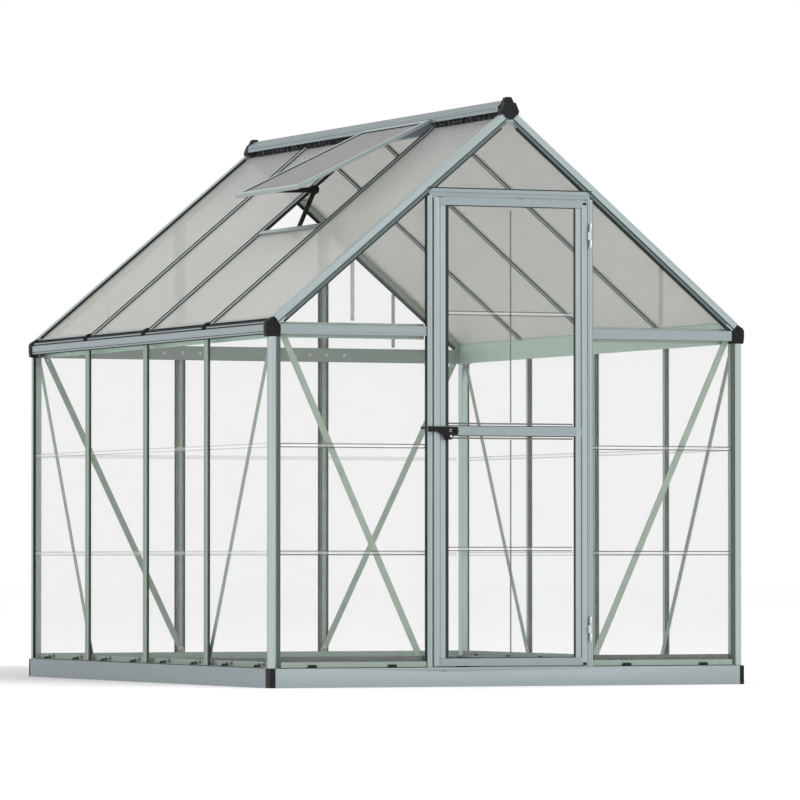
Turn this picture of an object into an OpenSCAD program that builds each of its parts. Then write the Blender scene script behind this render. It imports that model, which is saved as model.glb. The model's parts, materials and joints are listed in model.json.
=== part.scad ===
// Walk-in polycarbonate greenhouse on a steel base.
// Millimetres, +Z up. The door's gable faces -Y and the ridge runs along Y.
// The origin is on the ground, under the middle of the house.

/* [House] */
// Width over the base
house_w = 1850; // [1700:10:2000]
// Length over the base
house_l = 2470; // [2300:10:2600]
// Height to the top of the ridge's end caps
house_h = 2097; // [2077:5:2152]
// Slope of the roof, degrees
roof_angle = 40; // [39.5:0.1:40.5]

/* [Base] */
// Height of the base
base_h = 68; // [60:1:80]
// Thickness of the base's steel
base_t = 2; // [1.5:0.5:3]
// Width of the base's folded top
base_lip = 50; // [48:1:60]

/* [Walls] */
// Height of the eave gutter's floor
eave_z = 1242; // [1232:1:1249]
// Width of a glazing bar's outer cap
bar_w = 30; // [26:1:34]
// Thickness of the clear wall panels
panel_t = 4; // [2:0.5:4]

/* [Roof] */
// Thickness of the twin-wall roof panels
sheet_t = 4; // [3:0.5:4]
// Depth of the gable rafters, across the slope
rafter_depth = 34; // [32:1:36]

/* [Door] */
// Width of the door leaf
door_w = 598; // [580:2:600]
// Height of the door leaf's top edge
door_top = 1732; // [1700:1:1732]
// Thickness of the door leaf
door_t = 22; // [20:1:24]
// Gap round the door leaf
door_gap = 5; // [5:1:7]

/* [Roof vent] */
// Angle of the propped sash below the horizontal, degrees
vent_angle = 25.8; // [24:0.2:28]
// Length of the sash down the slope
vent_len = 587; // [580:1:590]

/* [Hidden] */
$fn = 32;

steel = "#9fa8a9";
alu = "#a3b1b1";
clear = [0.92, 0.94, 0.94, 0.35];
twin = [0.76, 0.76, 0.74, 0.85];
black = "#2a2a2a";

half_w = house_w / 2;
half_l = house_l / 2;

// The frame's inner faces stand this far inside the base's outer face
wall_inset = 45;
wall_x = half_w - wall_inset;
wall_y = half_l - wall_inset;

// Glazing bar: an inner flange, a slot for the panel and an outer cap
flange_t = 4;
slot_t = 4;
cap_t = 10;
bar_depth = flange_t + slot_t + cap_t;
flange_half = 11;
web_half_t = 3;
web_gap = web_half_t + 0.2;

// Inner faces of the clear panels, and the front wall's outer face
side_glass = half_w - 17.5;
rear_glass = half_l - 17.5;
front_glass = wall_y + 13;
front_face = wall_y + 34;

// Sills
sill_t = 3;
sill_h = 22;

// Corner posts
post_x = half_w - 13.5;
post_strip_x = half_w - 3.5;
post_strip_y = [wall_y + 6, wall_y + 26];
post_step_x = wall_x + 15;
wall_t = 2;
post_top = eave_z - 12;

// Eave
eave_web = 6;
eave_web_z = eave_z + 10;
eave_face_low = eave_z - 3;
eave_face_top = eave_z + 33;
plate_t = 4;
plate_low = eave_z - 14;
plate_high = eave_z + 41;
gutter_front = half_w + 5;
gutter_lip = eave_z + 31;
gutter_step = eave_z + 7;
cap_front = half_w + 9;
cap_y = wall_y + 27;

// Roof: every height on the slope is counted from the line where the
// roof bars' outer planes would meet
apex_z = house_h - 37;
bar_end_u = 1181;
seat_low = cap_t + slot_t + 3.2;
web_half = 10;
web_low = apex_z - 55;
cover_top = apex_z + 27;
cover_half = 32;
cover_end = wall_y - 4;

// Wall and roof bays
bay = (house_l - 40) / 4;
bar_ys = [-bay, 0, bay];
rear_bar_x = 303;
seam_x = 603;

// Door
jamb_in = door_w / 2 + door_gap;
jamb_w = 18;
jamb_out = jamb_in + jamb_w;
jamb_depth = 38;
jamb_lap = 8;
header_z = door_top + door_gap;
header_h = 27;
header_half = jamb_out - jamb_lap;
leaf_front = wall_y + 46;
stile_front = leaf_front - 2.5;
leaf_bottom = base_h + door_gap;
stile_w = 45;
stile_band = 22;
mid_rail_z = 889;
mid_rail_h = 33;
end_rail_h = 27;
pane_t = 4;

// Door hinges
hinge_x = jamb_in + 4.5;
hinge_y = wall_y + 50.5;
hinge_pin_r = 2.5;
hinge_r = 5;
hinge_len = 88;
hinge_zs = [157, 1562];

// Latch
latch_x = -241;
latch_z = 906;
latch_pin_r = 4;
lever_front = leaf_front + 10;
lever_t = 6;

// Vent, hinged under the ridge's cover on the left slope
vent_y0 = -bay;
vent_y1 = 0;
vent_hinge_x = 37;
vent_hinge_z = apex_z - 10;
vent_sill_u = 606;
vent_sill_w = 20;
sash_low = -14;
sash_high = 6;
sash_w = 24;

function roof_z(x, drop = 0) = apex_z - tan(roof_angle) * x - drop / cos(roof_angle);
function slope_at(x) = x / cos(roof_angle);

// ---------- shared shapes ----------

module both_x() {
  children();
  mirror([1, 0, 0]) children();
}

module both_y() {
  children();
  mirror([0, 1, 0]) children();
}

// A profile drawn in X and Z, run along Y
module along_y(y0, y1) {
  translate([0, y1, 0]) rotate([90, 0, 0]) linear_extrude(y1 - y0) children();
}

// A profile drawn in Y and Z, run along X
module along_x(x0, x1) {
  translate([x0, 0, 0]) rotate([90, 0, 90]) linear_extrude(x1 - x0) children();
}

// The right slope's own frame: X down the slope, Z out of the roof
module on_slope() {
  translate([0, 0, apex_z]) rotate([0, roof_angle, 0]) children();
}

// A box from corner to corner
module block(lo, hi) {
  translate(lo) cube(hi - lo);
}

// All that lies under the gable rafters
module under_rafters() {
  reach = half_w;
  along_y(-half_l, half_l)
    polygon([[-reach, 0], [reach, 0], [reach, roof_z(reach, rafter_depth)],
             [0, roof_z(0, rafter_depth)], [-reach, roof_z(reach, rafter_depth)]]);
}

// A profile's own wall: the outline less what lies deeper than the wall
module tube_2d() {
  difference() {
    children();
    offset(delta = -wall_t) children();
  }
}

// Glazing bar. Y points out of the wall
module bar_2d() {
  translate([-flange_half, 0]) square([2 * flange_half, flange_t]);
  translate([-web_half_t, 0]) square([2 * web_half_t, bar_depth]);
  translate([-bar_w / 2, flange_t + slot_t]) square([bar_w, cap_t]);
}

// Sill rail: a flange under the panel, up to one distance, and a leg inside
module sill_2d(reach, leg) {
  translate([0, base_h]) square([reach, sill_t]);
  translate([leg, base_h]) square([sill_t, sill_h]);
}

// Eave beam of a gable: an outer face, a web between the panels and an
// inner plate
module eave_beam(x0, face) {
  translate([0, wall_y, 0]) along_x(x0, wall_x) {
    translate([face - 4, eave_face_low]) square([4, eave_face_top - eave_face_low]);
    translate([0, eave_web_z]) square([face, eave_web]);
    translate([0, plate_low]) square([plate_t, plate_high - plate_low]);
  }
}

// ---------- base ----------

corner_short = 20;
corner_long = 46;

module base_profile_2d() {
  square([base_t, base_h]);
  square([30, base_t]);
}

module base_front() {
  reach = half_w - corner_short;
  color(steel) difference() {
    union() {
      translate([0, -half_l, 0]) along_x(-reach, reach) base_profile_2d();
      block([-reach, -half_l, base_h - base_t], [reach, -half_l + base_lip, base_h]);
    }
    translate([-265, -half_l - 1, base_h - 13])
      rotate([-90, 0, 0]) cylinder(r = 3, h = base_t + 2);
  }
}

module base_rear() {
  reach = half_w - corner_long;
  color(steel) mirror([0, 1, 0]) {
    translate([0, -half_l, 0]) along_x(-reach, reach) base_profile_2d();
    block([-reach, -half_l, base_h - base_t], [reach, -half_l + base_lip, base_h]);
  }
}

module base_right() {
  color(steel) {
    block([half_w - base_t, -half_l + corner_long, 0], [half_w, half_l - corner_short, base_h]);
    block([half_w - 30, -half_l + corner_long, 0], [half_w, half_l - 30, base_t]);
    block([half_w - base_lip, -half_l + base_lip, base_h - base_t],
          [half_w, half_l - base_lip, base_h]);
  }
}

module base_left() {
  mirror([1, 0, 0]) base_right();
}

// Plastic corner piece with a rounded outer edge and two unequal legs
module base_corner(leg_x, leg_y) {
  r = 8;
  t = 12;
  translate([half_w, -half_l, 0]) linear_extrude(base_h) {
    translate([-r, r]) circle(r = r);
    translate([-leg_x, 0]) square([leg_x - r, t]);
    translate([-t, r]) square([t, leg_y - r]);
  }
}

module base_corners() {
  color(black) both_x() {
    base_corner(corner_short, corner_long);
    mirror([0, 1, 0]) base_corner(corner_long, corner_short);
  }
}

// Clips that hold the wall's sill to the base, seen over its outer edge
module base_clips() {
  pitch = 305;
  low = base_h + sill_t;
  outside = side_glass + slot_t;
  color(black) {
    both_x() for (y = [-3.5 * pitch : pitch : 3.5 * pitch])
      along_y(y - 7, y + 7)
        polygon([[outside, low], [outside + 10, low], [outside, low + 12]]);
    both_x() for (x = [1.5 * pitch, 2.5 * pitch])
      block([x - 15, -half_l + 2, base_h], [x + 15, -front_face, base_h + 12]);
  }
}

// ---------- walls ----------

// Corner post in a front corner's own quadrant: X to the side, Y outwards
module front_post_2d() {
  polygon([[wall_x, wall_y], [post_x, wall_y], [post_x, post_strip_y[0]],
           [post_strip_x, post_strip_y[0]], [post_strip_x, post_strip_y[1]],
           [post_x, post_strip_y[1]], [post_x, front_face - 5], [post_x - 2, front_face - 2],
           [post_x - 5, front_face], [post_step_x, front_face], [post_step_x, front_face - 12],
           [wall_x, front_face - 12]]);
}

// A rear post's outer face is level with the rear wall's bars
module rear_post_2d() {
  back = rear_glass + slot_t;
  polygon([[wall_x, wall_y], [post_x, wall_y], [post_x, post_strip_y[0]],
           [post_strip_x, post_strip_y[0]], [post_strip_x, post_strip_y[1]],
           [post_x, post_strip_y[1]], [post_x, back + 4], [post_x - 6, back + cap_t],
           [wall_x + 6, back + cap_t], [wall_x + 6, back], [wall_x, back]]);
}

module corner_posts() {
  color(alu) both_x() translate([0, 0, base_h]) linear_extrude(post_top - base_h) {
    mirror([0, 1, 0]) tube_2d() front_post_2d();
    tube_2d() rear_post_2d();
  }
}

bar_low = base_h + sill_t;

module wall_bars_right() {
  color(alu) for (y = bar_ys)
    translate([side_glass - flange_t, y, bar_low]) rotate([0, 0, -90])
      linear_extrude(eave_z - bar_low) bar_2d();
}

module wall_bars_left() {
  mirror([1, 0, 0]) wall_bars_right();
}

module wall_bars_rear() {
  color(alu) intersection() {
    under_rafters();
    both_x() translate([rear_bar_x, rear_glass - flange_t, bar_low])
      linear_extrude(apex_z - bar_low) bar_2d();
  }
}

module sill_rails() {
  end = wall_x - 0.2;
  side_reach = post_strip_x - wall_x;
  color(alu) {
    both_x() translate([wall_x, 0, 0]) along_y(-wall_y, wall_y) sill_2d(side_reach, 16);
    translate([0, wall_y, 0]) along_x(-end, end) sill_2d(half_l - 3.5 - wall_y, 11);
    both_x() mirror([0, 1, 0]) translate([0, wall_y, 0]) along_x(jamb_out, end) {
      sill_2d(front_face - wall_y, 0);
      translate([front_face - wall_y - sill_t, base_h]) square([sill_t, sill_h]);
    }
  }
}

// Flat brace in the X-Z plane from a top corner to a bar's foot
module brace_2d(top, foot) {
  foot_z = 92;
  top_z = eave_z - 2;
  width = 24;
  rise = top_z - foot_z;
  lean = foot - top;
  half = width / 2 * sqrt(rise * rise + lean * lean) / rise;
  polygon([[top - half, top_z], [top + half, top_z], [foot + half, foot_z], [foot - half, foot_z]]);
}

brace_t = 3;

module braces_right() {
  color(alu) intersection() {
    both_y() translate([side_glass - flange_t - 0.5 - brace_t, 0, 0]) rotate([90, 0, 90])
      linear_extrude(brace_t) brace_2d(wall_y, bay - 10);
    block([0, -wall_y, 0], [half_w, wall_y, house_h]);
  }
}

module braces_left() {
  mirror([1, 0, 0]) braces_right();
}

module braces_front() {
  color(alu) both_x() translate([0, -front_glass + brace_t + 0.2, 0]) rotate([90, 0, 0])
    linear_extrude(brace_t) brace_2d(wall_x - 15, jamb_out + 13);
}

module braces_rear() {
  color(alu) both_x() translate([0, rear_glass - flange_t - 0.2, 0]) rotate([90, 0, 0])
    linear_extrude(brace_t) brace_2d(wall_x - 15, rear_bar_x - 5);
}

// Door post: narrow behind the front panel's face, ribbed in front
module door_post_2d() {
  back = front_glass + panel_t - wall_y;
  square([jamb_w - jamb_lap, jamb_depth - 3]);
  translate([0, back]) square([jamb_w, jamb_depth - 3 - back]);
  for (x = [0, 6.5, 13]) translate([x, back]) square([5, jamb_depth - back]);
}

module door_posts() {
  color(alu) both_x() mirror([0, 1, 0]) translate([jamb_in, wall_y, base_h])
    linear_extrude(header_z - base_h) tube_2d() door_post_2d();
}

module door_header() {
  depth = front_face - wall_y;
  color(alu) intersection() {
    under_rafters();
    mirror([0, 1, 0]) translate([0, wall_y, 0]) along_x(-header_half, header_half) tube_2d() {
      translate([0, header_z]) square([depth - 3, header_h]);
      translate([0, header_z]) square([depth, 9]);
      translate([0, header_z + 15]) square([depth, 12]);
    }
  }
}

module eave_beams_front() {
  color(alu) intersection() {
    under_rafters();
    both_x() mirror([0, 1, 0]) eave_beam(jamb_out, front_face - wall_y);
  }
}

module eave_beam_rear() {
  color(alu) intersection() {
    under_rafters();
    difference() {
      both_x() eave_beam(0, half_l - 3.5 - wall_y);
      both_x() block([rear_bar_x - bar_w / 2, rear_glass - flange_t, plate_low],
                     [rear_bar_x + bar_w / 2, half_l, plate_high]);
    }
  }
}

// ---------- eaves ----------

// Gutter with its inner plate, which reaches up to the seat of the roof's sheets
module gutter_2d() {
  front = gutter_front - wall_x;
  polygon([[-plate_t, plate_low], [0, plate_low], [0, roof_z(wall_x, seat_low)],
           [-plate_t, roof_z(wall_x - plate_t, seat_low)]]);
  translate([-plate_t, eave_z]) square([front + plate_t - 2, 3]);
  translate([front - 5, eave_z]) square([3, gutter_step - eave_z]);
  translate([front - 5, gutter_step]) square([5, 3]);
  translate([front - 3, gutter_step]) square([3, gutter_lip - gutter_step]);
}

// The seat under the sheets' ends and the lip in front of them, in the
// slope's frame
module roof_seat_2d() {
  u0 = slope_at(wall_x - plate_t) + seat_low * tan(roof_angle);
  translate([u0 - 3, -seat_low]) square([bar_end_u - u0 + 6, 3]);
  translate([bar_end_u, -seat_low]) square([3, seat_low - 4]);
}

module gutter_right() {
  notch = bar_w / 2 + 0.5;
  color(alu) difference() {
    union() {
      translate([wall_x, 0, 0]) along_y(-wall_y, wall_y) gutter_2d();
      on_slope() along_y(-wall_y, wall_y) roof_seat_2d();
    }
    on_slope() for (y = bar_ys)
      block([bar_end_u - 50, y - notch, -bar_depth - 0.2], [bar_end_u + 9, y + notch, 0]);
  }
}

module gutter_left() {
  mirror([1, 0, 0]) gutter_right();
}

// Plastic cap on the end of a gutter, over the corner post
module eave_cap() {
  low = eave_z - 12;
  along_y(-cap_y, -wall_y) polygon([
    [wall_x + 0.2, low], [cap_front - 3, low], [cap_front, eave_z + 11], [cap_front, eave_z + 33],
    [cap_front - 4, eave_z + 43], [wall_x + 25.5, eave_z + 58], [wall_x + 3.2, eave_z + 32],
    [wall_x + 0.2, eave_z + 32]]);
}

module eave_caps() {
  color(black) both_x() both_y() eave_cap();
}

// ---------- roof ----------

module rafter_2d() {
  deep = front_face - wall_y;
  polygon([[0, 0], [deep, 0], [deep, -23], [deep - 7, -23], [deep - 7, -26], [deep - 3, -26],
           [deep - 3, -rafter_depth], [0, -rafter_depth]]);
}

// Front rafter of the right slope, closed at its lower end
module rafter() {
  intersection() {
    mirror([0, 1, 0]) on_slope() translate([0, wall_y, 0]) {
      along_x(0, bar_end_u) tube_2d() rafter_2d();
      along_x(bar_end_u - wall_t, bar_end_u) rafter_2d();
    }
    block([web_half, -half_l, 0], [half_w, half_l, house_h]);
  }
}

module rafters_front() {
  color(alu) both_x() rafter();
}

module rafters_rear() {
  color(alu) both_x() mirror([0, 1, 0]) rafter();
}

module roof_bars_right() {
  color(alu) intersection() {
    on_slope() for (y = bar_ys) translate([0, y, -bar_depth]) along_x(0, bar_end_u) bar_2d();
    block([web_half, -half_l, 0], [half_w, half_l, house_h]);
  }
}

module roof_bars_left() {
  mirror([1, 0, 0]) roof_bars_right();
}

// Plastic foot between a roof bar's end and the gutter's lip
module roof_bar_foot() {
  back = wall_x + 28;
  front = gutter_front - 3.2;
  rotate([90, 0, 0]) translate([0, 0, -12]) linear_extrude(24) polygon([
    [back, gutter_lip - 6], [front, gutter_lip - 6], [front, gutter_lip + 1],
    [front + 2, gutter_lip + 1], [front + 2, gutter_lip + 8], [front - 8, gutter_lip + 20],
    [back, gutter_lip + 27]]);
}

module roof_bar_feet() {
  color(black) both_x() for (y = bar_ys) translate([0, y, 0]) roof_bar_foot();
}

// Ridge: a web between the roof bars, under a folded cover
module ridge_cover_2d() {
  t = 4;
  low = apex_z - 16;
  shoulder = apex_z + 5;
  slope = (cover_top - shoulder) / (cover_half - 6);
  inner = shoulder - 2;
  neck = inner + slope * (cover_half - t - web_half);
  polygon([[-6, cover_top], [6, cover_top], [cover_half, shoulder], [cover_half, low],
           [cover_half - t, low], [cover_half - t, inner], [web_half, neck],
           [web_half, web_low], [-web_half, web_low], [-web_half, neck],
           [-cover_half + t, inner], [-cover_half + t, low], [-cover_half, low],
           [-cover_half, shoulder]]);
}

module ridge_beam() {
  end = front_face - 0.2;
  color(alu) {
    along_y(-cover_end, cover_end) ridge_cover_2d();
    along_y(-end, end)
      translate([-web_half, web_low]) square([2 * web_half, apex_z - web_half - web_low]);
  }
}

// Plastic cap that closes the ridge: a hood over the cover's end and a
// shield in front of the rafters
module ridge_cap() {
  top = house_h;
  shoulder = apex_z + 16;
  wide = apex_z - 17;
  along_y(-front_face + 8, -cover_end) both_x() polygon([
    [0, apex_z + 1], [35, apex_z - 28], [35, wide], [21, shoulder], [10, top], [0, top]]);
  along_y(-front_face, -front_face + 8) both_x() polygon([
    [0, apex_z + 1], [35, apex_z - 28], [35, wide], [21, shoulder], [0, shoulder]]);
  along_y(-half_l + 4, -front_face) both_x() polygon([
    [0, apex_z - 46], [16, apex_z - 39], [35, wide], [21, shoulder], [0, shoulder]]);
}

module ridge_caps() {
  color(black) both_y() ridge_cap();
}

// ---------- panels ----------

// Clear panel of a side wall between two lines across it
module side_panel(y0, y1) {
  block([side_glass, y0, bar_low], [side_glass + panel_t, y1, eave_z]);
}

module panels_right() {
  color(clear) {
    for (y = [-bay, 0]) side_panel(y + web_gap, y + bay - web_gap);
    both_y() side_panel(bay + web_gap, wall_y);
  }
}

module panels_left() {
  mirror([1, 0, 0]) panels_right();
}

// Clear panel of a gable wall, cut to the rafters. It lies beyond one plane
module gable_sheet(plane, x0, x1, z0, z1) {
  intersection() {
    under_rafters();
    block([x0, plane, z0], [x1, plane + panel_t, z1]);
  }
}

module panels_rear() {
  color(clear) {
    gable_sheet(rear_glass, -rear_bar_x + web_gap, rear_bar_x - web_gap, bar_low, eave_web_z);
    both_x() gable_sheet(rear_glass, rear_bar_x + web_gap, wall_x, bar_low, eave_web_z);
  }
}

module panels_front() {
  color(clear) both_x() mirror([0, 1, 0])
    gable_sheet(front_glass, jamb_out - jamb_lap, wall_x, bar_low, eave_web_z);
}

module gable_panels() {
  low = eave_web_z + eave_web;
  seam = 15;
  color(clear) {
    gable_sheet(rear_glass, -rear_bar_x + web_gap, rear_bar_x - web_gap, low, web_low);
    both_x() gable_sheet(rear_glass, rear_bar_x + web_gap, wall_x, low, apex_z);
    both_x() mirror([0, 1, 0]) {
      gable_sheet(front_glass, jamb_out - jamb_lap, wall_x, low, apex_z);
      translate([0, 1.5, 0]) gable_sheet(front_glass, seam_x - seam / 2, seam_x + seam / 2, low + 32, apex_z);
    }
  }
}

module door_gable_panel() {
  color(clear) mirror([0, 1, 0])
    gable_sheet(front_glass, -jamb_in, jamb_in, header_z + header_h, web_low);
}

// Twin-wall panel of the right slope, from one distance down it to another
module roof_sheet(y0, y1, u0, u1) {
  on_slope() block([u0, y0, -cap_t - sheet_t], [u1, y1, -cap_t]);
}

sheet_top = slope_at(web_half) + 14;
sheet_low = bar_end_u;

module roof_panels_right() {
  color(twin) {
    for (y = [-bay, 0]) roof_sheet(y + web_gap, y + bay - web_gap, sheet_top, sheet_low);
    both_y() roof_sheet(bay + web_gap, wall_y, sheet_top, sheet_low);
  }
}

module roof_panels_left() {
  color(twin) mirror([1, 0, 0]) {
    roof_sheet(web_gap, bay - web_gap, sheet_top, sheet_low);
    roof_sheet(-bay + web_gap, -web_gap, vent_sill_u + vent_sill_w, sheet_low);
    both_y() roof_sheet(bay + web_gap, wall_y, sheet_top, sheet_low);
  }
}

// ---------- roof vent, fixed where it is propped ----------

// The sash's own frame: X down the sash, Z out of it
module on_sash() {
  mirror([1, 0, 0]) translate([vent_hinge_x, 0, vent_hinge_z])
    rotate([0, vent_angle, 0]) children();
}

// Cross rail below the vent's opening
module vent_sill() {
  clear_of_bar = bar_w / 2 + 0.2;
  color(alu) mirror([1, 0, 0]) on_slope() {
    block([vent_sill_u, vent_y0 + clear_of_bar, -bar_depth],
          [vent_sill_u + vent_sill_w, vent_y1 - clear_of_bar, -2]);
    block([vent_sill_u, vent_y0 + web_gap, -bar_depth + flange_t],
          [vent_sill_u + vent_sill_w, vent_y1 - web_gap, -cap_t]);
  }
}

module vent_sash() {
  y0 = vent_y0 + 3;
  y1 = vent_y1 - 3;
  color(alu) on_sash() {
    difference() {
      block([0, y0, sash_low], [vent_len, y1, sash_high]);
      block([sash_w, y0 + sash_w, 2 * sash_low], [vent_len - sash_w, y1 - sash_w, 2 * sash_high]);
    }
    translate([0, y0, 0]) rotate([-90, 0, 0]) cylinder(r = 5, h = y1 - y0);
  }
}

module vent_panel() {
  color(twin) on_sash()
    block([sash_w, vent_y0 + 3 + sash_w, -2], [vent_len - sash_w, vent_y1 - 3 - sash_w, 2]);
}

// Folding stay: from the sash's lower rail to an elbow, then to a bracket
// under the sill
module vent_stay() {
  elbow = [-370, 1808];
  sash_end = [-533.5, 1798];
  sill_end = [-448, 1634];
  mid_y = (vent_y0 + vent_y1) / 2;
  color(black) {
    along_y(mid_y - 5, mid_y + 5) {
      translate(elbow) circle(r = 17);
      hull() {
        translate(elbow) circle(r = 11);
        translate(sash_end) circle(r = 4.5);
      }
      hull() {
        translate(elbow) circle(r = 8);
        translate(sill_end) circle(r = 7);
      }
    }
    mirror([1, 0, 0]) on_slope()
      block([vent_sill_u + 1, mid_y - 9, -bar_depth - 26], [vent_sill_u + 16, mid_y + 9, -bar_depth]);
  }
}

// ---------- door ----------

// Stile: an outer band that stands proud and a lower step inside it
module door_stile() {
  inner = door_w / 2 - stile_w;
  back = -leaf_front + door_t;
  block([door_w / 2 - stile_band, -stile_front, leaf_bottom], [door_w / 2, back, door_top]);
  block([inner, -stile_front + 3, leaf_bottom], [door_w / 2, back, door_top]);
}

module door_stiles() {
  color(alu) difference() {
    both_x() door_stile();
    panes_groove();
  }
}

// Groove that the door's panes slide into
module panes_groove() {
  mid = -leaf_front + door_t / 2;
  block([-door_w / 2 + stile_w - 8, mid - pane_t / 2, leaf_bottom + 8],
        [door_w / 2 - stile_w + 8, mid + pane_t / 2, door_top - 8]);
}

module door_rail(z, h) {
  inner = door_w / 2 - stile_w;
  over = door_w / 2 - stile_band;
  block([-inner, -leaf_front, z], [inner, -leaf_front + door_t, z + h]);
  block([-over, -leaf_front, z], [over, -stile_front + 2.8, z + h]);
}

module door_rails() {
  color(alu) difference() {
    union() {
      door_rail(leaf_bottom, end_rail_h);
      door_rail(mid_rail_z, mid_rail_h);
      door_rail(door_top - end_rail_h, end_rail_h);
    }
    difference() {
      panes_groove();
      block([-jamb_in, -half_l, mid_rail_z + 8], [jamb_in, 0, mid_rail_z + mid_rail_h - 8]);
    }
  }
}

module door_panels() {
  color(clear) difference() {
    panes_groove();
    block([-jamb_in, -half_l, mid_rail_z + 8], [jamb_in, 0, mid_rail_z + mid_rail_h - 8]);
  }
}

module hinge_ring(z0, z1) {
  translate([hinge_x, -hinge_y, z0]) cylinder(r = hinge_r, h = z1 - z0);
}

// Pin, two outer knuckles and the lug that holds them to the post
module jamb_hinges() {
  third = hinge_len / 3;
  color(steel) for (z = hinge_zs) {
    translate([hinge_x, -hinge_y, z]) cylinder(r = hinge_pin_r, h = hinge_len);
    for (z0 = [z, z + 2 * third + 1]) {
      hinge_ring(z0, z0 + third - 1);
      block([hinge_x, -hinge_y, z0], [hinge_x + 5, -wall_y - jamb_depth, z0 + third - 1]);
    }
  }
}

// Middle knuckle, with a lug to the leaf's edge
module leaf_hinges() {
  third = hinge_len / 3;
  color(steel) for (z = hinge_zs) difference() {
    union() {
      hinge_ring(z + third, z + 2 * third);
      block([door_w / 2, -hinge_y - 2, z + third], [hinge_x, -leaf_front + 5, z + 2 * third]);
    }
    translate([hinge_x, -hinge_y, z]) cylinder(r = hinge_pin_r + 0.3, h = hinge_len);
  }
}

// ---------- latch ----------

// Plate and headed pivot on the door, and the rounded pull beside them
module latch_plate() {
  color(black) {
    block([latch_x - 12, -leaf_front - 2.5, latch_z - 16], [latch_x + 32, -leaf_front, latch_z + 13]);
    translate([latch_x, -leaf_front, latch_z]) rotate([90, 0, 0])
      cylinder(r = latch_pin_r, h = lever_front - leaf_front);
    translate([latch_x + 25, -leaf_front, latch_z - 2]) rotate([90, 0, 0]) cylinder(r = 7, h = 8);
  }
}

// Lever that reaches from the pivot across the post
module latch_lever() {
  color(black) translate([0, -lever_front + lever_t, 0]) rotate([90, 0, 0])
    linear_extrude(lever_t) difference() {
      translate([latch_x, latch_z]) polygon([
        [-79, 14], [0, 14], [10, 5], [12, -4], [12, -21], [5, -32], [-5, -33], [-13, -30],
        [-19, -35], [-26, -30], [-26, -19], [-57, 0], [-62, -7], [-67, -7], [-67, -3],
        [-78, -4], [-81, 5]]);
      translate([latch_x, latch_z]) circle(r = latch_pin_r + 0.3);
      translate([latch_x - 19, latch_z - 25]) circle(r = 4);
    }
}

// Keeper on the post, with its tail inside the house
module latch_keeper() {
  color(black) {
    block([-jamb_out + 1, -wall_y - jamb_depth - 6, latch_z - 5],
          [-jamb_in - 4, -wall_y - jamb_depth, latch_z + 15]);
    block([-jamb_out - 8, -wall_y, latch_z + 5], [-jamb_in - 4, -wall_y + 8, latch_z + 14]);
  }
}

base_front();
base_rear();
base_left();
base_right();
base_corners();
base_clips();
corner_posts();
wall_bars_left();
wall_bars_right();
wall_bars_rear();
sill_rails();
braces_left();
braces_right();
braces_front();
braces_rear();
door_posts();
door_header();
eave_beams_front();
eave_beam_rear();
gutter_left();
gutter_right();
eave_caps();
rafters_front();
rafters_rear();
roof_bars_left();
roof_bars_right();
roof_bar_feet();
ridge_beam();
ridge_caps();
panels_left();
panels_right();
panels_front();
panels_rear();
gable_panels();
door_gable_panel();
roof_panels_left();
roof_panels_right();
vent_sill();
vent_sash();
vent_panel();
vent_stay();
door_stiles();
door_rails();
door_panels();
leaf_hinges();
jamb_hinges();
latch_plate();
latch_lever();
latch_keeper();
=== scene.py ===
# %% [markdown]
# # A polycarbonate greenhouse, dressed in Blender
# The construction model says where every part is and how the door and its latch turn. This lesson
# gives the parts the look of the real thing: silver profiles with rubber seals, pressed clear
# sheets, fluted roof sheets, black moulded caps and the small fasteners between them.

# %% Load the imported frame
import json, math
import bpy, bmesh
from mathutils import Euler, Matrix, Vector


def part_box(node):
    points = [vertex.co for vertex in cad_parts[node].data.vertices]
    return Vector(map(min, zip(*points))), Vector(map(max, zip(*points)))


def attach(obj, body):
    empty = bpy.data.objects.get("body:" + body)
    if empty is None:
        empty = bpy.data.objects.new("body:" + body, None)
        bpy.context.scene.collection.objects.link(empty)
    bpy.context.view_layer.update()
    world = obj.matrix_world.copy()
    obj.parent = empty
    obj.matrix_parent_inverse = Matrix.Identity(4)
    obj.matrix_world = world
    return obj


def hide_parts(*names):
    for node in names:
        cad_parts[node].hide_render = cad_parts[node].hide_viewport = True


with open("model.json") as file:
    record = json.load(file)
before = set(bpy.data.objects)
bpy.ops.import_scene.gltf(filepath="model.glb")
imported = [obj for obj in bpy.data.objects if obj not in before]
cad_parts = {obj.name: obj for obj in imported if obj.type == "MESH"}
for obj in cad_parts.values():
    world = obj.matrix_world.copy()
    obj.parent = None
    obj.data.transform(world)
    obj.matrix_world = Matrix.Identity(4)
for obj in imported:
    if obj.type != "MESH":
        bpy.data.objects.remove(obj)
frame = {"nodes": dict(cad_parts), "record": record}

scene = bpy.context.scene
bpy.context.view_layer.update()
behaviour = frame["record"]["behaviour"]
body_of = {node: body for body, nodes in behaviour["bodies"].items() for node in nodes}

# %% [markdown]
# ## Sizes
# A house like this is drawn in millimetres, and Blender works in metres, so every list of points
# below is in millimetres and is scaled once, when it becomes a mesh. Most places are read from the
# boxes of the construction parts, so that the looks follow them.

# %% Read the sizes of the house
MM = 0.001


def span(node):
    low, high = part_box(node)
    return [round(value / MM, 3) for value in (*low, *high)]


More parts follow.
